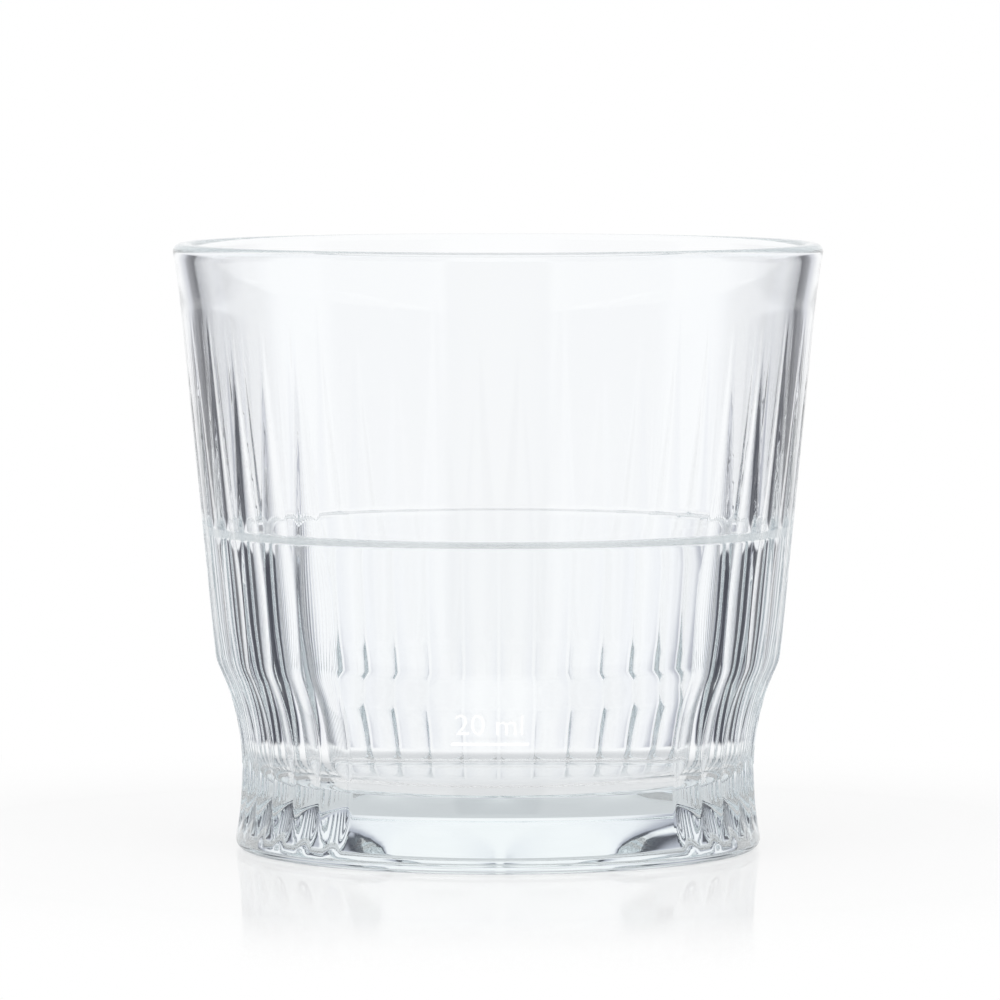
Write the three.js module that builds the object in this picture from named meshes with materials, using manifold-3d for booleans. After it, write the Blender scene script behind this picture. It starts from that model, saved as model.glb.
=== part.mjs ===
// Stackable whisky tumbler: heavy base, waisted foot, fluted wall with a plain front panel,
// and an inner ledge that carries the foot of the next glass.
// Millimetres, +Z up, origin on the table under the axis, plain panel facing -Y.

import * as THREE from 'three';
import { mergeGeometries, mergeVertices } from 'three/addons/utils/BufferGeometryUtils.js';
import Module from 'manifold-3d';

// Outside of the glass
const HEIGHT = 82;
const RIM_RADIUS = 44;
const LIP_ROUND = 1.15;
const LIP_HEIGHT = 9;
const LIP_FLARE = 0.2;
const SHOULDER_RADIUS = 38.3;
const SHOULDER_HEIGHT = 25.6;
const SHOULDER_ROUND = 7;
const NECK_RADIUS = 34.8;
const NECK_HEIGHT = 11;
const FOOT_RADIUS = 35.65;
const FOOT_ROUND = 1.2;

// Underside: a flat bearing ring round a shallow recess
const BEARING_WIDTH = 4;
const RECESS_DEPTH = 0.8;
const RECESS_SLOPE_WIDTH = 2.4;

// Inside of the glass
const UPPER_WALL = 2.7;
const LEDGE_HEIGHT = 43.6;
const LEDGE_FILLET = 0.8;
const LEDGE_ROUND = 0.8;
const STACK_LAP = 2.45;
const FLOOR_HEIGHT = 9.4;
const FLOOR_WALL = 4.8;
const FLOOR_FILLET = 5;

// Flutes: scooped channels side by side, left out over the front panel. Each starts as a point
// below the lip, widens until it meets its neighbours, deepens to the neck and runs out at the foot.
const FLUTE_COUNT = 33;
const PANEL_DEGREES = 76.6;
const FLUTE_DEPTH = 0.42;
const FLUTE_NECK_DEPTH = 0.95;
const FLUTE_TIP = 73;
const FLUTE_MEET = 36;
const FLUTE_SINK = 31;
const FLUTE_DEEP = 20;
const FLUTE_END = 2.6;
const FLUTE_RUNOUT = 5;

// Enamel fill line on the panel
const LINE_HEIGHT = 17.3;
const LINE_LENGTH = 10.3;
const LINE_WIDTH = 0.45;
const LINE_THICKNESS = 0.12;
const LINE_CLEARANCE = 0.05;
const LINE_DEGREES = -5.8;

// Facets
const FLUTE_FACETS = 5;
const PANEL_FACETS = 18;
const CAVITY_FACETS = 72;
const LINE_FACETS = 6;

const { abs, cos, sin, tan, atan2, hypot, min, PI } = Math;
const { clamp, degToRad, lerp } = THREE.MathUtils;
const PANEL_ANGLE = degToRad(PANEL_DEGREES);
const FLUTE_PITCH = (2 * PI - PANEL_ANGLE) / FLUTE_COUNT;
const QUARTER = PI / 2;

const wasm = await Module();
wasm.setup();

// Points of a profile in the (radius, height) plane.
const point = (radius, height) => new THREE.Vector2(radius, height);

function line(from, to, steps = 1) {
  return new THREE.LineCurve(from, to).getPoints(steps);
}

function arc(centre, radius, fromAngle, toAngle, steps) {
  const clockwise = fromAngle > toAngle;
  return new THREE.EllipseCurve(centre.x, centre.y, radius, radius, fromAngle, toAngle, clockwise)
    .getPoints(steps);
}

// Rounds the corner at `corner` between the directions of its two neighbours.
function roundedCorner(before, corner, after, radius, steps) {
  const towardsBefore = before.clone().sub(corner).normalize();
  const towardsAfter = after.clone().sub(corner).normalize();
  const halfAngle = towardsBefore.angleTo(towardsAfter) / 2;
  const setback = radius / tan(halfAngle);
  const start = corner.clone().addScaledVector(towardsBefore, setback);
  const end = corner.clone().addScaledVector(towardsAfter, setback);
  return new THREE.QuadraticBezierCurve(start, corner, end).getPoints(steps);
}

// Joins runs of points and drops the doubles where one run ends and the next starts.
function joinRuns(...runs) {
  const points = runs.flat();
  return points.filter((p, i) => i === 0 || p.distanceTo(points[i - 1]) > 1e-4);
}

// Arc from the neck, where the wall stands upright, to a point further out.
function sweepFromNeck(end, steps) {
  const dr = end.x - NECK_RADIUS;
  const dz = end.y - NECK_HEIGHT;
  const radius = (dr * dr + dz * dz) / (2 * dr);
  const centre = point(NECK_RADIUS + radius, NECK_HEIGHT);
  return arc(centre, radius, PI, PI - Math.asin(dz / radius), steps);
}

// Outside wall from the top of the foot's bottom edge to the rim's outer edge.
function outerWall() {
  const neckStart = sweepFromNeck(point(FOOT_RADIUS, FOOT_ROUND), 3).reverse();
  const shoulder = point(SHOULDER_RADIUS, SHOULDER_HEIGHT);
  const sweep = sweepFromNeck(shoulder, 5);
  const lipStart = point(RIM_RADIUS - LIP_FLARE, HEIGHT);
  const lipBase = shoulder.clone().lerp(lipStart, 1 - LIP_HEIGHT / (HEIGHT - SHOULDER_HEIGHT));
  const rimEdge = point(RIM_RADIUS, HEIGHT - LIP_ROUND);
  const middle = lipBase.clone().lerp(lipStart, 0.5);
  const corner = roundedCorner(sweep.at(-2), shoulder, lipBase, SHOULDER_ROUND, 3);
  const lip = new THREE.QuadraticBezierCurve(lipBase, middle, rimEdge).getPoints(3);
  return joinRuns(neckStart, sweep.slice(0, -1), corner, line(corner.at(-1), lipBase, 5), lip);
}

// Radius of the outside wall at a height, read along its straight facets.
function wallRadius(wall, height) {
  const above = wall.findIndex((p) => p.y >= height);
  const [low, high] = [wall[above - 1], wall[above]];
  return low.x + ((high.x - low.x) * (height - low.y)) / (high.y - low.y);
}

// Depth of the flutes at a height and at a place from one ridge (0) to the next (1).
function fluteDepth(height, place) {
  const fade = clamp((FLUTE_TIP - height) / (FLUTE_TIP - FLUTE_MEET), 0, 1);
  const runout = clamp((height - FLUTE_END) / FLUTE_RUNOUT, 0, 1);
  const width = min(fade ** 1.3, runout ** 0.3);
  const across = abs(2 * place - 1) / width;
  if (!(across < 1)) return 0;
  const sunk = clamp((FLUTE_SINK - height) / (FLUTE_SINK - FLUTE_DEEP), 0, 1);
  const deepest = lerp(FLUTE_DEPTH, FLUTE_NECK_DEPTH, sunk) * min(fade ** 1.1, runout ** 0.8);
  return deepest * (1 - across ** 2);
}

// Turns a profile about Z; angle 0 faces -Y.
function revolve(profile, facets, start = 0, sweep = 2 * PI) {
  return new THREE.LatheGeometry(profile, facets, start, sweep).rotateX(QUARTER);
}

// Presses the flutes into a revolved sector that starts on a ridge.
function pressFlutes(sector, start) {
  const position = sector.attributes.position;
  const vertex = new THREE.Vector3();
  for (let i = 0; i < position.count; i += 1) {
    vertex.fromBufferAttribute(position, i);
    const radius = hypot(vertex.x, vertex.y);
    const beyondPanel = abs(abs(atan2(vertex.x, -vertex.y)) - start);
    const depth = fluteDepth(vertex.z, (beyondPanel / FLUTE_PITCH) % 1);
    if (radius > 0 && depth > 0) {
      const scale = 1 - depth / radius;
      position.setXY(i, vertex.x * scale, vertex.y * scale);
    }
  }
  return sector;
}

function toSolid(geometry) {
  const bare = new THREE.BufferGeometry().setAttribute('position', geometry.attributes.position);
  const merged = mergeVertices(bare.setIndex(geometry.index), 1e-4);
  return new wasm.Manifold(new wasm.Mesh({
    numProp: 3,
    vertProperties: new Float32Array(merged.attributes.position.array),
    triVerts: new Uint32Array(merged.index.array),
  }));
}

function toGeometry(solid) {
  const { vertProperties, triVerts } = solid.getMesh();
  const geometry = new THREE.BufferGeometry();
  geometry.setAttribute('position', new THREE.BufferAttribute(vertProperties, 3));
  geometry.setIndex(new THREE.BufferAttribute(triVerts, 1));
  geometry.computeVertexNormals();
  return geometry;
}

// Solid blank with the outer form, before the inside is pressed out.
function blank(wall) {
  const bearingOuter = FOOT_RADIUS - FOOT_ROUND;
  const bearingInner = bearingOuter - BEARING_WIDTH;
  const underside = [
    point(0, RECESS_DEPTH),
    point(bearingInner - RECESS_SLOPE_WIDTH, RECESS_DEPTH),
    point(bearingInner, 0),
  ];
  const bottomEdge = arc(point(bearingOuter, FOOT_ROUND), FOOT_ROUND, -QUARTER, 0, 2);
  const lipCentre = point(RIM_RADIUS - LIP_ROUND, HEIGHT - LIP_ROUND);
  const lipEdge = arc(lipCentre, LIP_ROUND, 0, QUARTER, 2);
  const profile = joinRuns(underside, bottomEdge, wall, lipEdge, [point(0, HEIGHT)]);
  const panelStart = -PANEL_ANGLE / 2;
  const panel = revolve(profile, PANEL_FACETS, panelStart, PANEL_ANGLE);
  const fluted = revolve(profile, FLUTE_COUNT * FLUTE_FACETS, -panelStart, 2 * PI - PANEL_ANGLE);
  return mergeGeometries([panel, pressFlutes(fluted, -panelStart)]);
}

// Plunger that presses out the inside: floor, lower wall, stacking ledge, upper wall and lip.
function plunger(wall) {
  const floorCorner = point(wallRadius(wall, FLOOR_HEIGHT) - FLOOR_WALL, FLOOR_HEIGHT);
  const ledgeEdge = point(FOOT_RADIUS - STACK_LAP, LEDGE_HEIGHT);
  const ledgeCorner = point(wallRadius(wall, LEDGE_HEIGHT) - UPPER_WALL, LEDGE_HEIGHT);
  const lipTop = HEIGHT - LIP_ROUND;
  const lipBase = HEIGHT - LIP_HEIGHT;
  const upperEnd = point(wallRadius(wall, lipBase) - UPPER_WALL, lipBase);
  const rimEdge = point(RIM_RADIUS - UPPER_WALL, lipTop);
  const mouth = point(rimEdge.x + LIP_ROUND, HEIGHT);
  const lip = arc(point(mouth.x, lipTop), LIP_ROUND, PI, QUARTER, 2);
  const profile = joinRuns(
    [point(0, FLOOR_HEIGHT)],
    roundedCorner(point(0, FLOOR_HEIGHT), floorCorner, ledgeEdge, FLOOR_FILLET, 4),
    roundedCorner(floorCorner, ledgeEdge, ledgeCorner, LEDGE_ROUND, 3),
    roundedCorner(ledgeEdge, ledgeCorner, upperEnd, LEDGE_FILLET, 4),
    [upperEnd],
    lip,
    [point(mouth.x, HEIGHT + LIP_ROUND), point(0, HEIGHT + LIP_ROUND)],
  );
  return revolve(profile, CAVITY_FACETS);
}

function tumblerBody(wall) {
  return toGeometry(toSolid(blank(wall)).subtract(toSolid(plunger(wall))));
}

// Enamel bar wrapped on to the panel, following the wall's slope.
function fillLine(wall) {
  const bar = new THREE.BoxGeometry(LINE_LENGTH, LINE_THICKNESS, LINE_WIDTH, LINE_FACETS, 1, 1);
  const position = bar.attributes.position;
  for (let i = 0; i < position.count; i += 1) {
    const height = LINE_HEIGHT + position.getZ(i);
    const proud = LINE_CLEARANCE + LINE_THICKNESS / 2 - position.getY(i);
    const radius = wallRadius(wall, height) + proud;
    const angle = degToRad(LINE_DEGREES) + position.getX(i) / wallRadius(wall, LINE_HEIGHT);
    position.setXYZ(i, radius * sin(angle), -radius * cos(angle), height);
  }
  return bar;
}

const glass = new THREE.MeshStandardMaterial({
  color: 0xdfe8ec,
  roughness: 0.03,
  metalness: 0,
  transparent: true,
  opacity: 0.35,
});
const enamel = new THREE.MeshStandardMaterial({ color: 0xf6f7f5, roughness: 0.45, metalness: 0 });

function named(name, geometry, material) {
  const mesh = new THREE.Mesh(geometry, material);
  mesh.name = name;
  return mesh;
}

const wall = outerWall();
const tumbler = new THREE.Group();
tumbler.add(named('tumbler_body', tumblerBody(wall), glass));
tumbler.add(named('fill_line', fillLine(wall), enamel));

export default tumbler;
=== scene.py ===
"""Whisky tumbler in pressed glass: the fine glass mesh, its enamel measure and the studio round it."""

import logging
import math
from dataclasses import dataclass, field
from enum import Enum

import bmesh
import bpy
from mathutils import Matrix, Vector


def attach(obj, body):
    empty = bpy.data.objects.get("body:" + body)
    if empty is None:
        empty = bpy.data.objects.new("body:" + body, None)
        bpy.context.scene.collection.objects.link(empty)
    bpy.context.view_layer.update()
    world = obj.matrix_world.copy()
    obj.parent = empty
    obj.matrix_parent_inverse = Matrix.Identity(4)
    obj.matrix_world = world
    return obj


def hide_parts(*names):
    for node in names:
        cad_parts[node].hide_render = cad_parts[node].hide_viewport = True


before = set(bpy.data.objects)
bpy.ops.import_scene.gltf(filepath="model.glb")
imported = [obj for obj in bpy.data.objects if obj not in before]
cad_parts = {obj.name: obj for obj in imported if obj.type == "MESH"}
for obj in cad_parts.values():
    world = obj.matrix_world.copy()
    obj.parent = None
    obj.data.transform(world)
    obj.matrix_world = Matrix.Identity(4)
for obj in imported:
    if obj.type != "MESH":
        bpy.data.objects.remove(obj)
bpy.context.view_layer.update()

Colour = tuple[float, float, float, float]
Range = tuple[float, float]

MM = 0.001
BODY = "root"
FULL_TURN = 2.0 * math.pi
DEGREES = 180.0 / math.pi
CAMERA_TURN = math.radians(-4.1)
WHITE: Colour = (1.0, 1.0, 1.0, 1.0)
LOG = logging.getLogger("tumbler")


class Socket(Enum):
    """Shader inputs that more than one finish sets."""

    COLOUR = "Base Color"
    ROUGHNESS = "Roughness"
    NORMAL = "Normal"


class Number:
    """A shader number that Python operators combine through Math nodes."""

    def __init__(self, graph: "Graph", socket: bpy.types.NodeSocket) -> None:
        """Wraps an output socket of a graph."""
        self.graph = graph
        self.socket = socket

    def math(self, operation: str, *values: "Number | float") -> "Number":
        """Adds one Math node.

        Args:
            operation: Blender's name for the operation.
            values: The operands after this one.

        Returns:
            The node's result.
        """
        return self.graph.math(operation, self, *values)

    def __add__(self, other: "Number | float") -> "Number":
        """Sum."""
        return self.math("ADD", other)

    __radd__ = __add__

    def __sub__(self, other: "Number | float") -> "Number":
        """Difference."""
        return self.math("SUBTRACT", other)

    def __rsub__(self, other: float) -> "Number":
        """Difference from a plain number."""
        return self.graph.math("SUBTRACT", other, self)

    def __mul__(self, other: "Number | float") -> "Number":
        """Product."""
        return self.math("MULTIPLY", other)

    __rmul__ = __mul__


class Graph:
    """A node tree that is filled by expressions and by one method for every other node."""

    def __init__(self, tree: bpy.types.NodeTree) -> None:
        """Empties the tree."""
        self.tree = tree
        tree.nodes.clear()

    def put(self, socket: bpy.types.NodeSocket, value: object) -> None:
        """Links a socket to a number or output, or sets its plain value.

        Args:
            socket: The input to fill.
            value: A Number, an output socket, or a plain value.
        """
        if isinstance(value, Number):
            self.tree.links.new(value.socket, socket)
        elif isinstance(value, bpy.types.NodeSocket):
            self.tree.links.new(value, socket)
        else:
            socket.default_value = value

    def add(
        self,
        kind: str,
        settings: dict[str, object] | None = None,
        sockets: dict[str | int, object] | None = None,
    ) -> bpy.types.Node:
        """Adds any node.

        Args:
            kind: Blender's node type.
            settings: Properties that are set first.
            sockets: Values or links of the inputs, by name or index.

        Returns:
            The new node.
        """
        node = self.tree.nodes.new(kind)
        for name, value in (settings or {}).items():
            setattr(node, name, value)
        for name, value in (sockets or {}).items():
            self.put(node.inputs[name], value)
        return node

    def math(self, operation: str, *values: Number | float) -> Number:
        """Adds a Math node.

        Args:
            operation: Blender's name for the operation.
            values: Its operands.

        Returns:
            The result.
        """
        node = self.add("ShaderNodeMath", {"operation": operation}, dict(enumerate(values)))
        return Number(self, node.outputs[0])

    def number(self, node: bpy.types.Node, output: str | int = 0) -> Number:
        """Wraps a node's output as a number."""
        return Number(self, node.outputs[output])

    def smooth(self, value: Number, low: float, high: float) -> Number:
        """Smooth step of a number from 0 at low to 1 at high.

        Args:
            value: The number to grade.
            low: Where the step starts.
            high: Where the step ends.

        Returns:
            The graded number.
        """
        node = self.add(
            "ShaderNodeMapRange",
            {"interpolation_type": "SMOOTHSTEP"},
            {"Value": value, "From Min": low, "From Max": high},
        )
        return self.number(node)

    def blend(self, factor: Number, first: object, second: object) -> bpy.types.NodeSocket:
        """Mixes two colours.

        Args:
            factor: Share of the second colour.
            first: Colour or socket at factor 0.
            second: Colour or socket at factor 1.

        Returns:
            The mixed colour's socket.
        """
        node = self.add("ShaderNodeMix", {"data_type": "RGBA"}, {0: factor, 6: first, 7: second})
        return node.outputs[2]

    def grain(
        self, scale: float, detail: float, strength: float, depth: float
    ) -> tuple[Number, bpy.types.NodeSocket]:
        """Adds a noise that lies still on the piece, and the bump that it makes.

        Args:
            scale: Scale of the noise.
            detail: Octaves of the noise.
            strength: Strength of the bump.
            depth: Depth of the bump.

        Returns:
            The noise and the bumped normal.
        """
        coordinates = self.add("ShaderNodeTexCoord")
        noise = self.add(
            "ShaderNodeTexNoise",
            sockets={"Vector": coordinates.outputs["Object"], "Scale": scale, "Detail": detail},
        )
        bump = self.add(
            "ShaderNodeBump",
            sockets={"Strength": strength, "Distance": depth, "Height": noise.outputs["Fac"]},
        )
        return self.number(noise, "Fac"), bump.outputs["Normal"]


def clamped(share: float) -> float:
    """Limits a share to the span from 0 to 1."""
    return min(max(share, 0.0), 1.0)


def new_object(
    name: str, bm: bmesh.types.BMesh, material: bpy.types.Material, smooth: bool = True
) -> bpy.types.Object:
    """Turns a bmesh into an object at the origin.

    Args:
        name: The object's name.
        bm: The finished mesh, which is freed.
        material: Its only material.
        smooth: Whether its faces are shaded as one smooth surface.

    Returns:
        The linked object.
    """
    mesh = bpy.data.meshes.new(name)
    bm.to_mesh(mesh)
    bm.free()
    mesh.polygons.foreach_set("use_smooth", [smooth] * len(mesh.polygons))
    mesh.materials.append(material)
    piece = bpy.data.objects.new(name, mesh)
    bpy.context.scene.collection.objects.link(piece)
    return piece


def new_material(name: str) -> tuple[bpy.types.Material, Graph]:
    """Makes an empty node material.

    Args:
        name: The material's name.

    Returns:
        The material and its graph.
    """
    material = bpy.data.materials.new(name)
    material.use_nodes = True
    return material, Graph(material.node_tree)


class Outline:
    """A wire in the XZ half plane, drawn from tip to tip and turned round the Z axis."""

    DOUBLINGS = 3

    def __init__(self, bm: bmesh.types.BMesh, radius: float, height: float) -> None:
        """Starts the wire.

        Args:
            bm: The mesh that takes the wire.
            radius: Distance of the first point from the axis.
            height: Height of the first point.
        """
        self.bm = bm
        self.tip = bm.verts.new((radius, 0.0, height))
        self.wire: list[bmesh.types.BMVert | bmesh.types.BMEdge] = [self.tip]

    @property
    def at(self) -> Vector:
        """The tip as (radius, height)."""
        return Vector((self.tip.co.x, self.tip.co.z))

    def line(self, end: Vector, steps: int = 1) -> None:
        """Extrudes the tip in a straight line.

        Args:
            end: Where the line ends, as (radius, height).
            steps: How many edges it has.
        """
        step = (end - self.at) / steps
        for _ in range(steps):
            made = bmesh.ops.extrude_vert_indiv(self.bm, verts=[self.tip])
            self.tip = made["verts"][0]
            self.tip.co += Vector((step.x, 0.0, step.y))
            self.wire += [self.tip, made["edges"][0]]

    def arc(self, centre: Vector, end: Vector, steps: int) -> None:
        """Spins the tip about a centre until it meets the direction of a point.

        Args:
            centre: Centre of the arc, as (radius, height).
            end: Where the arc ends.
            steps: How many edges it has.
        """
        start, stop = self.at - centre, end - centre
        turn = math.atan2(start.x * stop.y - start.y * stop.x, start.dot(stop))
        old_verts, old_edges = set(self.bm.verts), set(self.bm.edges)
        made = bmesh.ops.spin(
            self.bm,
            geom=[self.tip],
            cent=(centre.x, 0.0, centre.y),
            axis=(0.0, -1.0, 0.0),
            angle=turn,
            steps=steps,
        )
        self.tip = next(v for v in made["geom_last"] if isinstance(v, bmesh.types.BMVert))
        self.wire += [v for v in self.bm.verts if v not in old_verts]
        self.wire += [e for e in self.bm.edges if e not in old_edges]

    def corner(self, corner: Vector, after: Vector, radius: float, steps: int, approach: int = 1) -> None:
        """Runs to a corner and rounds it.

        Args:
            corner: The sharp corner.
            after: A point that the wire heads for next.
            radius: Radius of the rounding.
            steps: Edges of the rounding.
            approach: Edges of the straight run before it.
        """
        back = (self.at - corner).normalized()
        ahead = (after - corner).normalized()
        half = back.angle(ahead) / 2.0
        middle = (back + ahead).normalized()
        setback = radius / math.tan(half)
        self.line(corner + back * setback, approach)
        self.arc(corner + middle * (radius / math.sin(half)), corner + ahead * setback, steps)

    def turn(self, steps: int) -> list[bmesh.types.BMVert]:
        """Turns the wire into a closed round surface: one sector is spun and then doubled.

        Args:
            steps: Facets of the full turn, the same number in each sector.

        Returns:
            Every vertex of the surface.
        """
        others = {*self.bm.verts, *self.bm.edges, *self.bm.faces} - {*self.wire}
        sectors = 2**self.DOUBLINGS
        sector = FULL_TURN / sectors
        bmesh.ops.spin(
            self.bm,
            geom=self.wire,
            cent=(0.0, 0.0, 0.0),
            axis=(0.0, 0.0, 1.0),
            angle=sector,
            steps=steps // sectors,
        )
        for _ in range(self.DOUBLINGS):
            made = [g for g in (*self.bm.verts, *self.bm.edges, *self.bm.faces) if g not in others]
            copy = bmesh.ops.duplicate(self.bm, geom=made)["geom"]
            bmesh.ops.rotate(
                self.bm,
                verts=[v for v in copy if isinstance(v, bmesh.types.BMVert)],
                cent=(0.0, 0.0, 0.0),
                matrix=Matrix.Rotation(sector, 3, "Z"),
            )
            sector *= 2.0
        return [v for v in self.bm.verts if v not in others]


@dataclass
class Flutes:
    """Scooped channels side by side round the wall, left out over the front panel."""

    count: int = 33
    panel_half: float = math.radians(38.3)
    depth: float = 0.42 * MM
    deep_depth: float = 0.95 * MM
    tip: float = 73.0 * MM
    meet: float = 36.0 * MM
    sink: float = 31.0 * MM
    deep: float = 20.0 * MM
    end: float = 2.6 * MM
    runout: float = 5.0 * MM
    tip_width_power: float = 1.3
    tip_depth_power: float = 1.1
    end_width_power: float = 0.3
    end_depth_power: float = 0.8
    facets: int = 16
    panel_facets: int = 96

    @property
    def pitch(self) -> float:
        """Angle from one ridge to the next."""
        return (FULL_TURN - 2.0 * self.panel_half) / self.count

    @property
    def around(self) -> int:
        """Facets of the full turn."""
        return self.count * self.facets + self.panel_facets

    def fade_at(self, height: float) -> float:
        """Share of the full channel that is left between its tip below the lip and where channels meet."""
        return clamped((self.tip - height) / (self.tip - self.meet))

    def runout_at(self, height: float) -> float:
        """Share of the full channel that is left where it runs out above the bottom edge."""
        return clamped((height - self.end) / self.runout)

    def width_at(self, height: float) -> float:
        """Width of a channel as a share of the pitch."""
        fade = self.fade_at(height) ** self.tip_width_power
        return min(fade, self.runout_at(height) ** self.end_width_power)

    def depth_at(self, height: float) -> float:
        """Depth in the middle of a channel.

        Args:
            height: Height above the table.

        Returns:
            The depth.
        """
        deeper = clamped((self.sink - height) / (self.sink - self.deep))
        full = self.depth + deeper * (self.deep_depth - self.depth)
        fade = self.fade_at(height) ** self.tip_depth_power
        return full * min(fade, self.runout_at(height) ** self.end_depth_power)

    def place(self, vert: bmesh.types.BMVert) -> None:
        """Moves a vertex round the axis so that the ridges fall on edges of the mesh.

        Args:
            vert: A vertex of an evenly turned surface.
        """
        even = math.atan2(vert.co.x, -vert.co.y)
        panel_even = math.pi * self.panel_facets / self.around
        if abs(even) <= panel_even:
            angle = even * self.panel_half / panel_even
        else:
            share = (math.pi - abs(even)) / (math.pi - panel_even)
            angle = math.copysign(math.pi - share * (math.pi - self.panel_half), even)
        radius = math.hypot(vert.co.x, vert.co.y)
        vert.co.x, vert.co.y = radius * math.sin(angle), -radius * math.cos(angle)

    def press(self, verts: list[bmesh.types.BMVert]) -> None:
        """Moves the wall's vertices in by the depth of the channels.

        Args:
            verts: Vertices of the outside.
        """
        for vert in verts:
            width = self.width_at(vert.co.z)
            beyond = (abs(math.atan2(vert.co.x, -vert.co.y)) - self.panel_half) / self.pitch
            across = abs(beyond % 1.0 - 0.5)
            if beyond > 0.0 and across < width / 2.0:
                cut = self.depth_at(vert.co.z) * (1.0 - (2.0 * across / width) ** 2)
                scale = 1.0 - cut / math.hypot(vert.co.x, vert.co.y)
                vert.co.x *= scale
                vert.co.y *= scale


@dataclass(frozen=True)
class ProfileSteps:
    """Edges of the mesh along each stretch of the glass's profile."""

    recess: int = 6
    recess_slope: int = 3
    bearing: int = 2
    foot_sweep: int = 10
    shoulder_sweep: int = 14
    taper: int = 26
    lip: int = 8
    edge: int = 6
    fillet: int = 8
    inner_wall: int = 12
    floor: int = 6


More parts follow.
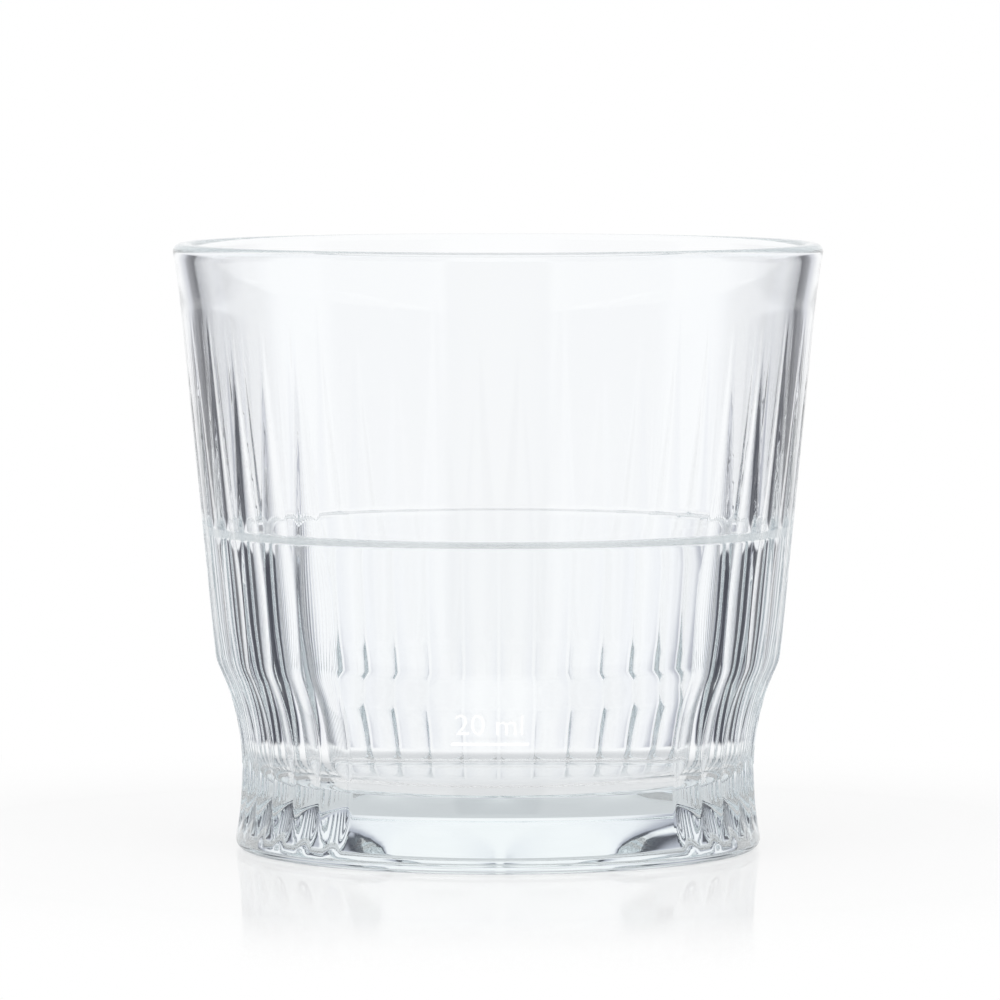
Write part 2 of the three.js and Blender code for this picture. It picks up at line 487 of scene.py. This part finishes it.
@dataclass
class Tumbler:
    """The pressed glass itself, in the sizes of its mould and plunger."""

    height: float = 82.0 * MM
    rim_radius: float = 44.0 * MM
    lip_round: float = 1.15 * MM
    lip_height: float = 9.0 * MM
    lip_flare: float = 0.2 * MM
    shoulder: Vector = field(default_factory=lambda: Vector((38.3, 25.6)) * MM)
    shoulder_round: float = 7.0 * MM
    neck: Vector = field(default_factory=lambda: Vector((34.8, 11.0)) * MM)
    foot_radius: float = 35.65 * MM
    foot_round: float = 1.2 * MM
    bearing_width: float = 4.0 * MM
    recess_depth: float = 0.8 * MM
    recess_slope: float = 2.4 * MM
    upper_wall: float = 2.7 * MM
    ledge_height: float = 43.6 * MM
    ledge_fillet: float = 0.8 * MM
    ledge_round: float = 0.8 * MM
    stack_lap: float = 2.45 * MM
    floor_height: float = 9.4 * MM
    floor_wall: float = 4.8 * MM
    floor_fillet: float = 5.0 * MM
    weld: float = 0.002 * MM
    flutes: Flutes = field(default_factory=Flutes)
    steps: ProfileSteps = field(default_factory=ProfileSteps)

    @property
    def lip_base(self) -> Vector:
        """Point of the outside where the straight taper ends and the lip starts to flare."""
        straight_end = Vector((self.rim_radius - self.lip_flare, self.height))
        share = 1.0 - self.lip_height / (self.height - self.shoulder.y)
        return self.shoulder.lerp(straight_end, share)

    @property
    def taper(self) -> float:
        """Lean of the straight wall from upright."""
        run = self.lip_base - self.shoulder
        return math.atan2(run.x, run.y)

    def sweep_centre(self, end: Vector) -> Vector:
        """Centre of the arc that stands upright at the neck and passes a point.

        Args:
            end: The point, further out than the neck.

        Returns:
            The centre as (radius, height).
        """
        out = end - self.neck
        return self.neck + Vector((out.length_squared / (2.0 * out.x), 0.0))

    def radius_at(self, height: float) -> float:
        """Radius of the plain outside between the foot and the lip.

        Args:
            height: Height above the table.

        Returns:
            The wall's outer radius.
        """
        if height >= self.shoulder.y:
            rise = (height - self.shoulder.y) / (self.lip_base.y - self.shoulder.y)
            return self.shoulder.x + rise * (self.lip_base.x - self.shoulder.x)
        end = self.shoulder if height > self.neck.y else Vector((self.foot_radius, self.foot_round))
        centre = self.sweep_centre(end)
        sweep = centre.x - self.neck.x
        return centre.x - math.sqrt(sweep**2 - (height - centre.y) ** 2)

    def draw_outside(self, bm: bmesh.types.BMesh) -> list[bmesh.types.BMVert]:
        """Turns the outside: recess, bearing ring, foot, neck, shoulder, taper and lip.

        Args:
            bm: The mesh that takes it.

        Returns:
            Its vertices.
        """
        steps = self.steps
        bearing = self.foot_radius - self.foot_round
        recess = bearing - self.bearing_width
        foot_top = Vector((self.foot_radius, self.foot_round))
        wire = Outline(bm, 0.0, self.recess_depth)
        wire.line(Vector((recess - self.recess_slope, self.recess_depth)), steps.recess)
        wire.line(Vector((recess, 0.0)), steps.recess_slope)
        wire.line(Vector((bearing, 0.0)), steps.bearing)
        wire.arc(Vector((bearing, self.foot_round)), foot_top, steps.edge)
        wire.arc(self.sweep_centre(foot_top), self.neck, steps.foot_sweep)
        sweep = self.sweep_centre(self.shoulder)
        reach = math.asin((self.shoulder.y - self.neck.y) / (sweep.x - self.neck.x))
        tangent = Vector((math.sin(reach), math.cos(reach)))
        setback = self.shoulder_round * math.tan((reach - self.taper) / 2.0)
        wire.arc(sweep, self.shoulder - tangent * setback, steps.shoulder_sweep)
        wire.corner(self.shoulder, self.lip_base, self.shoulder_round, steps.fillet)
        wire.line(self.lip_base, steps.taper)
        rise = (self.lip_base - self.shoulder).normalized()
        normal = Vector((rise.y, -rise.x))
        rim_edge = Vector((self.rim_radius, self.height - self.lip_round))
        lip = rim_edge - self.lip_base
        flare = lip.length_squared / (2.0 * lip.dot(normal))
        wire.arc(self.lip_base + normal * flare, rim_edge, steps.lip)
        crest = rim_edge + Vector((-self.lip_round, self.lip_round))
        wire.arc(rim_edge - Vector((self.lip_round, 0.0)), crest, steps.edge)
        return wire.turn(self.flutes.around)

    def draw_inside(self, bm: bmesh.types.BMesh) -> None:
        """Turns the inside: lip, upper wall, stacking ledge, lower wall and floor.

        Args:
            bm: The mesh that takes it.
        """
        steps = self.steps
        rim_edge = Vector((self.rim_radius - self.upper_wall, self.height - self.lip_round))
        crest = Vector((self.rim_radius - self.lip_round, self.height))
        upper = self.lip_base - Vector((self.upper_wall, 0.0))
        ledge_corner = Vector((self.radius_at(self.ledge_height) - self.upper_wall, self.ledge_height))
        ledge_edge = Vector((self.foot_radius - self.stack_lap, self.ledge_height))
        floor_corner = Vector((self.radius_at(self.floor_height) - self.floor_wall, self.floor_height))
        floor_middle = Vector((0.0, self.floor_height))
        wire = Outline(bm, crest.x, crest.y)
        wire.line(Vector((rim_edge.x + self.lip_round, self.height)))
        wire.arc(rim_edge + Vector((self.lip_round, 0.0)), rim_edge, steps.edge)
        wire.line(upper, steps.lip)
        wire.corner(ledge_corner, ledge_edge, self.ledge_fillet, steps.fillet, steps.inner_wall)
        wire.corner(ledge_edge, floor_corner, self.ledge_round, steps.edge)
        wire.corner(floor_corner, floor_middle, self.floor_fillet, steps.fillet, steps.inner_wall)
        wire.line(floor_middle, steps.floor)
        wire.turn(self.flutes.around)

    def build(self, material: bpy.types.Material) -> bpy.types.Object:
        """Models the glass as one closed shell.

        Args:
            material: The glass finish.

        Returns:
            The finished piece.
        """
        bm = bmesh.new()
        outside = self.draw_outside(bm)
        self.draw_inside(bm)
        for vert in bm.verts:
            self.flutes.place(vert)
        self.flutes.press(outside)
        bmesh.ops.remove_doubles(bm, verts=bm.verts, dist=self.weld)
        bmesh.ops.recalc_face_normals(bm, faces=bm.faces)
        piece = new_object("glass_tumbler", bm, material)
        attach(piece, BODY)
        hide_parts("tumbler_body")
        return piece


@dataclass
class Measure:
    """The white enamel measure that is fired on to the front panel."""

    glass: Tumbler
    line_height: float = 17.3 * MM
    line_length: float = 10.3 * MM
    line_width: float = 0.45 * MM
    line_round: float = 0.135 * MM
    line_round_steps: int = 4
    line_cuts: int = 24
    thickness: float = 0.08 * MM
    sunk: float = 0.02 * MM
    angle: float = math.radians(-5.8)
    text: str = "20 ml"
    text_height: float = 2.9 * MM
    text_gap: float = 1.0 * MM
    text_steps: int = 4
    digit_share: float = 0.72
    weld: float = 0.001 * MM

    def wrap(self, bm: bmesh.types.BMesh) -> None:
        """Wraps a flat print on to the panel: X runs round the wall, Y up it and Z out of it.

        Args:
            bm: The flat print, whose Y is measured from the fill line.
        """
        around = self.glass.radius_at(self.line_height)
        for vert in bm.verts:
            height = self.line_height + vert.co.y
            radius = self.glass.radius_at(height) - self.sunk + vert.co.z
            angle = self.angle + vert.co.x / around
            vert.co = (radius * math.sin(angle), -radius * math.cos(angle), height)
        bmesh.ops.recalc_face_normals(bm, faces=bm.faces)

    def build_line(self, material: bpy.types.Material) -> bpy.types.Object:
        """Models the fill line.

        Args:
            material: The enamel finish.

        Returns:
            The finished piece.
        """
        bm = bmesh.new()
        size = Vector((self.line_length, self.line_width, self.thickness))
        bmesh.ops.create_cube(bm, size=1.0, matrix=Matrix.Diagonal(size).to_4x4())
        bmesh.ops.translate(bm, verts=bm.verts, vec=(0.0, 0.0, self.thickness / 2.0))
        upright = [e for e in bm.edges if abs(e.verts[0].co.z - e.verts[1].co.z) > self.thickness / 2.0]
        bmesh.ops.bevel(
            bm,
            geom=upright,
            offset=self.line_round,
            segments=self.line_round_steps,
            profile=0.5,
            affect="EDGES",
            material=-1,
        )
        for cut in range(1, self.line_cuts):
            place = (cut / self.line_cuts - 0.5) * self.line_length
            bmesh.ops.bisect_plane(
                bm,
                geom=bm.verts[:] + bm.edges[:] + bm.faces[:],
                plane_co=(place, 0.0, 0.0),
                plane_no=(1.0, 0.0, 0.0),
            )
        self.wrap(bm)
        piece = new_object("enamel_fill_line", bm, material, smooth=False)
        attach(piece, BODY)
        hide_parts("fill_line")
        return piece

    def build_text(self, material: bpy.types.Material) -> bpy.types.Object:
        """Models the plain volume that the line marks.

        Args:
            material: The enamel finish.

        Returns:
            The finished piece.
        """
        curve = bpy.data.curves.new("measure_text", "FONT")
        curve.body = self.text
        curve.align_x = "CENTER"
        curve.size = self.text_height / self.digit_share
        curve.extrude = self.thickness / 2.0
        curve.resolution_u = self.text_steps
        lettering = bpy.data.objects.new("measure_text", curve)
        bpy.context.scene.collection.objects.link(lettering)
        mesh = bpy.data.meshes.new_from_object(
            lettering.evaluated_get(bpy.context.evaluated_depsgraph_get())
        )
        bm = bmesh.new()
        bm.from_mesh(mesh)
        bpy.data.objects.remove(lettering)
        bpy.data.meshes.remove(mesh)
        lift = (0.0, self.line_width / 2.0 + self.text_gap, self.thickness / 2.0)
        bmesh.ops.translate(bm, verts=bm.verts, vec=lift)
        bmesh.ops.remove_doubles(bm, verts=bm.verts, dist=self.weld)
        bmesh.ops.triangulate(bm, faces=bm.faces)
        self.wrap(bm)
        piece = new_object("enamel_measure", bm, material, smooth=False)
        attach(piece, BODY)
        return piece


@dataclass(frozen=True)
class GlassFinish:
    """Clear fire-polished soda-lime glass with the faint ripple of a pressed wall."""

    tint: Colour = (0.986, 0.993, 0.999, 1.0)
    body_colour: Colour = (0.5, 0.735, 0.79, 1.0)
    body_density: float = 3.0
    ior: float = 1.52
    roughness: float = 0.0
    ripple_scale: float = 90.0
    ripple_detail: float = 1.0
    ripple_strength: float = 0.02
    ripple_depth: float = 0.2 * MM

    def make(self) -> bpy.types.Material:
        """Builds the material.

        Returns:
            The glass material.
        """
        material, graph = new_material("pressed_glass")
        _, rippled = graph.grain(
            self.ripple_scale, self.ripple_detail, self.ripple_strength, self.ripple_depth
        )
        shader = graph.add(
            "ShaderNodeBsdfPrincipled",
            sockets={
                Socket.COLOUR.value: self.tint,
                Socket.ROUGHNESS.value: self.roughness,
                "IOR": self.ior,
                "Transmission Weight": 1.0,
                Socket.NORMAL.value: rippled,
            },
        )
        body = graph.add(
            "ShaderNodeVolumeAbsorption",
            sockets={"Color": self.body_colour, "Density": self.body_density},
        )
        graph.add(
            "ShaderNodeOutputMaterial",
            sockets={"Surface": shader.outputs[0], "Volume": body.outputs[0]},
        )
        return material


@dataclass(frozen=True)
class EnamelFinish:
    """Opaque white enamel, slightly grainy where the screen printed it."""

    colour: Colour = (0.93, 0.94, 0.93, 1.0)
    thin: Colour = (0.82, 0.84, 0.84, 1.0)
    roughness: float = 0.35
    worn_roughness: float = 0.2
    worn_range: Range = (0.45, 0.75)
    grain_scale: float = 9000.0
    grain_detail: float = 3.0
    grain_strength: float = 0.15
    grain_depth: float = 0.02 * MM

    def make(self) -> bpy.types.Material:
        """Builds the material, a little greyer and rougher where it is worn.

        Returns:
            The enamel material.
        """
        material, graph = new_material("white_enamel")
        grain, grainy = graph.grain(
            self.grain_scale, self.grain_detail, self.grain_strength, self.grain_depth
        )
        worn = graph.smooth(grain, *self.worn_range)
        shader = graph.add(
            "ShaderNodeBsdfPrincipled",
            sockets={
                Socket.COLOUR.value: graph.blend(worn, self.colour, self.thin),
                Socket.ROUGHNESS.value: self.roughness + worn * self.worn_roughness,
                Socket.NORMAL.value: grainy,
            },
        )
        graph.add("ShaderNodeOutputMaterial", sockets={"Surface": shader.outputs[0]})
        return material


@dataclass(frozen=True)
class Backdrop:
    """Colours that the glass sees round it: white on the camera's line and dark cards beside it.

    The cards' angles are in degrees off that line. In front of the glass the cards are fainter.
    """

    side_range: Range = (5.0, 20.0)
    shade_start: float = 18.0
    card_start: float = 29.0
    card_end: float = 72.0
    card_edge: float = 6.0
    front_share: float = 0.15
    front_edge: float = 0.1
    side: Colour = (0.94, 0.945, 0.965, 1.0)
    shade: Colour = (0.47, 0.485, 0.55, 1.0)
    card: Colour = (0.026, 0.031, 0.05, 1.0)

    def folded(self, graph: Graph, place: bpy.types.Node) -> Number:
        """Angle in degrees from the camera's line, in front of the glass or behind it.

        Args:
            graph: The graph that takes the nodes.
            place: A Separate XYZ node of the place that is seen.

        Returns:
            The angle, from 0 to 90.
        """
        angle = graph.math("ARCTAN2", graph.number(place, "X"), graph.number(place, "Y"))
        turned = graph.math("MODULO", angle + (FULL_TURN + CAMERA_TURN + math.pi / 2.0), math.pi)
        return graph.math("ABSOLUTE", turned - math.pi / 2.0) * DEGREES

    def colour(self, graph: Graph, place: bpy.types.Node, reach: Number | float) -> bpy.types.NodeSocket:
        """Colour at a place round the glass.

        Args:
            graph: The graph that takes the nodes.
            place: A Separate XYZ node of the place that is seen.
            reach: Where the cards stand: 1 where they show in full, 0 where they leave off.

        Returns:
            The colour's socket.
        """
        off = self.folded(graph, place)
        colour = graph.blend(graph.smooth(off, *self.side_range), WHITE, self.side)
        shade = reach * graph.smooth(off, self.shade_start, self.card_start)
        shade = shade * (1.0 - graph.smooth(off, self.card_end, self.card_end + self.card_edge))
        colour = graph.blend(shade, colour, self.shade)
        card = reach * graph.smooth(off, self.card_start, self.card_start + self.card_edge)
        card = card * (1.0 - graph.smooth(off, self.card_end - self.card_edge, self.card_end))
        behind = graph.smooth(graph.number(place, "Y"), -self.front_edge, self.front_edge)
        depth = self.front_share + behind * (1.0 - self.front_share)
        return graph.blend(card * depth, colour, self.card)

    def make(self) -> bpy.types.Material:
        """Builds the surround's material.

        Returns:
            The glowing material.
        """
        material, graph = new_material("surround")
        coordinates = graph.add("ShaderNodeTexCoord")
        place = graph.add("ShaderNodeSeparateXYZ", sockets={0: coordinates.outputs["Object"]})
        colour = self.colour(graph, place, 1.0)
        glow = graph.add("ShaderNodeEmission", sockets={"Color": colour, "Strength": 1.0})
        graph.add("ShaderNodeOutputMaterial", sockets={"Surface": glow.outputs[0]})
        return material


@dataclass(frozen=True)
class FloorFinish:
    """White floor with a gloss that mirrors the glass faintly.

    The ranges are distances from the axis of the glass, but for grazing, which is a facing.
    """

    backdrop: Backdrop
    colour: Colour = (0.96, 0.96, 0.96, 1.0)
    roughness: float = 0.08
    ior: float = 1.45
    # Painted shadow on the floor under the glass and in a ring round its foot, which only rays through the
    # glass see.
    painted_under_shadow: Colour = (0.78, 0.785, 0.79, 1.0)
    painted_contact_shadow: Colour = (0.66, 0.67, 0.68, 1.0)
    seen_share: float = 0.55
    far_range: Range = (0.02, 0.14)
    painted_contact_shadow_range: Range = (0.028, 0.036)
    painted_under_shadow_range: Range = (0.045, 0.085)
    card_range: Range = (0.1, 0.16)
    # Painted dark patch on the floor in front of the glass, which only the glass's reflections see.
    painted_gap_range: Range = (0.044, 0.15)
    grazing_range: Range = (0.785, 0.83)
    gap: float = 17.5
    painted_gap_edge: float = 2.0

    def painted_gap_share(self, graph: Graph, place: bpy.types.Node, away: Number) -> Number:
        """Share of the painted dark patch in the gap between the softboxes, on the camera's side of the
        floor.

        Args:
            graph: The graph that takes the nodes.
            place: A Separate XYZ node of the place on the floor.
            away: The place's distance from the axis.

        Returns:
            1 within the gap, 0 beyond it.
        """
        angle = graph.math("ARCTAN2", graph.number(place, "X"), 0.0 - graph.number(place, "Y"))
        off = graph.math("ABSOLUTE", angle - CAMERA_TURN) * DEGREES
        clear = graph.smooth(away, *self.painted_gap_range)
        return clear * (1.0 - graph.smooth(off, self.gap - self.painted_gap_edge, self.gap + self.painted_gap_edge))

    def light(self, graph: Graph, through: Number, mirrored: Number) -> tuple[bpy.types.NodeSocket, Number]:
        """Light that the floor gives by itself, with a painted shadow under and round the glass's foot for
        rays through the glass, and a painted dark patch in front for rays that the glass mirrors.

        Args:
            graph: The graph that takes the nodes.
            through: 1 for rays through the glass.
            mirrored: 1 for rays that the glass mirrors.

        Returns:
            The light's colour, and the distance from the axis.
        """
        coordinates = graph.add("ShaderNodeTexCoord").outputs["Object"]
        place = graph.add("ShaderNodeSeparateXYZ", sockets={0: coordinates})
        length = graph.add("ShaderNodeVectorMath", {"operation": "LENGTH"}, {0: coordinates})
        away = graph.number(length, "Value")
        facing = graph.number(graph.add("ShaderNodeLayerWeight", sockets={"Blend": 0.5}), "Facing")
        cards = self.backdrop.colour(graph, place, graph.smooth(facing, *self.grazing_range))
        light = graph.blend(through * graph.smooth(away, *self.card_range), WHITE, cards)
        # Painted shadow under the glass and round its foot, for rays through the glass.
        shadow = graph.blend(graph.smooth(away, *self.painted_contact_shadow_range), self.painted_under_shadow, self.painted_contact_shadow)
        light = graph.blend(through * (1.0 - graph.smooth(away, *self.painted_under_shadow_range)), light, shadow)
        # Painted dark patch on the floor in front, seen only in the glass's reflections.
        gap = mirrored * self.painted_gap_share(graph, place, away)
        return graph.blend(gap, light, self.backdrop.card), away

    def make(self) -> bpy.types.Material:
        """Builds the material.

        Returns:
            The floor material.
        """
        material, graph = new_material("white_floor")
        path = graph.add("ShaderNodeLightPath")
        through = graph.number(path, "Is Transmission Ray")
        mirrored = graph.number(path, "Is Glossy Ray") * (1.0 - through)
        light, away = self.light(graph, through, mirrored)
        glow = graph.add("ShaderNodeEmission", sockets={"Color": light, "Strength": 1.0})
        gloss = graph.add(
            "ShaderNodeBsdfPrincipled",
            sockets={
                Socket.COLOUR.value: self.colour,
                Socket.ROUGHNESS.value: self.roughness,
                "IOR": self.ior,
            },
        )
        far = graph.smooth(away, *self.far_range)
        seen = graph.number(path, "Is Camera Ray") * self.seen_share
        share = graph.math("MAXIMUM", far, graph.math("MAXIMUM", seen, through))
        mix = graph.add("ShaderNodeMixShader", sockets={0: share, 1: gloss.outputs[0], 2: glow.outputs[0]})
        graph.add("ShaderNodeOutputMaterial", sockets={"Surface": mix.outputs[0]})
        return material


@dataclass
class Studio:
    """White world, floor and surround, two softboxes and the camera."""

    fill: float = 0.8
    bounces: int = 32
    floor_size: float = 6.0
    surround_radius: float = 0.45
    surround_height: float = 0.5
    surround_facets: int = 128
    box_distance: float = 1.0
    box_angle: float = math.radians(38.0)
    box_width: float = 0.7
    box_height: float = 0.9
    box_radiance: float = 1.6
    camera_distance: float = 1.0
    camera_height: float = 0.1128
    camera_tilt: float = math.radians(3.76)
    clip_start: float = 0.01
    photo_pixels: float = 1000.0
    focal_pixels: float = 7386.0
    axis_shift_pixels: float = 2.0

    def light_paths(self) -> None:
        """Lets light bounce often enough to find its way out of the thick glass."""
        bpy.context.scene.cycles.max_bounces = self.bounces
        bpy.context.scene.cycles.transmission_bounces = self.bounces
        bpy.context.scene.cycles.glossy_bounces = self.bounces

    def world(self) -> None:
        """Surrounds the scene with white, dimmed as a light for what the softboxes add."""
        world = bpy.data.worlds.new("studio_white")
        bpy.context.scene.world = world
        world.use_nodes = True
        graph = Graph(world.node_tree)
        path = graph.add("ShaderNodeLightPath")
        level = 1.0 - graph.number(path, "Is Diffuse Ray") * (1.0 - self.fill)
        shade = graph.add("ShaderNodeBackground", sockets={"Color": WHITE, "Strength": level})
        graph.add("ShaderNodeOutputWorld", sockets={"Surface": shade.outputs[0]})

    def floor(self, material: bpy.types.Material) -> None:
        """Lays the floor.

        Args:
            material: The floor's finish.
        """
        bm = bmesh.new()
        bmesh.ops.create_grid(bm, x_segments=1, y_segments=1, size=self.floor_size / 2.0)
        floor = new_object("floor", bm, material)

    def surround(self, material: bpy.types.Material) -> None:
        """Stands a round wall that only rays through the glass see.

        Args:
            material: The wall's white with its dark cards.
        """
        bm = bmesh.new()
        bmesh.ops.create_cone(
            bm,
            segments=self.surround_facets,
            radius1=self.surround_radius,
            radius2=self.surround_radius,
            depth=self.surround_height,
        )
        bmesh.ops.translate(bm, verts=bm.verts, vec=(0.0, 0.0, self.surround_height / 2.0))
        surround = new_object("surround", bm, material)
        surround.visible_camera = False
        surround.visible_diffuse = False
        surround.visible_glossy = False
        surround.visible_shadow = False

    def stand(self, angle: float, distance: float, height: float) -> Vector:
        """Place at an angle round the axis from the front, at a distance and a height."""
        return Vector((math.sin(angle) * distance, -math.cos(angle) * distance, height))

    def softboxes(self) -> None:
        """Hangs a tall softbox on each side of the camera for the enamel and the floor."""
        for side in (-1.0, 1.0):
            lamp = bpy.data.lights.new("softbox", "AREA")
            lamp.shape = "RECTANGLE"
            lamp.size, lamp.size_y = self.box_width, self.box_height
            lamp.energy = self.box_radiance * math.pi * self.box_width * self.box_height
            box = bpy.data.objects.new("softbox", lamp)
            bpy.context.scene.collection.objects.link(box)
            angle = CAMERA_TURN + side * self.box_angle
            place = self.stand(angle, self.box_distance, self.box_height / 2.0)
            facing = (-place).to_track_quat("-Z", "Y")
            box.matrix_world = Matrix.Translation(place) @ facing.to_matrix().to_4x4()
            box.visible_glossy = False
            box.visible_transmission = False

    def camera(self) -> None:
        """Sets the camera where the photograph was taken."""
        data = bpy.data.cameras.new("photo_camera")
        data.sensor_fit = "HORIZONTAL"
        data.lens = data.sensor_width * self.focal_pixels / self.photo_pixels
        data.clip_start = self.clip_start
        camera = bpy.data.objects.new("photo_camera", data)
        bpy.context.scene.collection.objects.link(camera)
        place = self.stand(CAMERA_TURN, self.camera_distance, self.camera_height)
        yaw = CAMERA_TURN - math.atan(self.axis_shift_pixels / self.focal_pixels)
        pitch = math.pi / 2.0 - self.camera_tilt
        aim = Matrix.Rotation(yaw, 4, "Z") @ Matrix.Rotation(pitch, 4, "X")
        camera.matrix_world = Matrix.Translation(place) @ aim
        bpy.context.scene.camera = camera


def main() -> None:
    """Builds the glass, its print and the studio, and reports each piece."""
    logging.basicConfig(level=logging.INFO, format="%(name)s: %(message)s")
    bpy.context.scene.view_settings.view_transform = "Standard"
    glass = Tumbler()
    enamel = EnamelFinish().make()
    measure = Measure(glass)
    pieces = [
        glass.build(GlassFinish().make()),
        measure.build_line(enamel),
        measure.build_text(enamel),
    ]
    for piece in pieces:
        LOG.info("%s: %d faces", piece.name, len(piece.data.polygons))
    backdrop = Backdrop()
    studio = Studio()
    studio.light_paths()
    studio.world()
    studio.floor(FloorFinish(backdrop).make())
    studio.surround(backdrop.make())
    studio.softboxes()
    studio.camera()


if __name__ == "__main__":
    main()
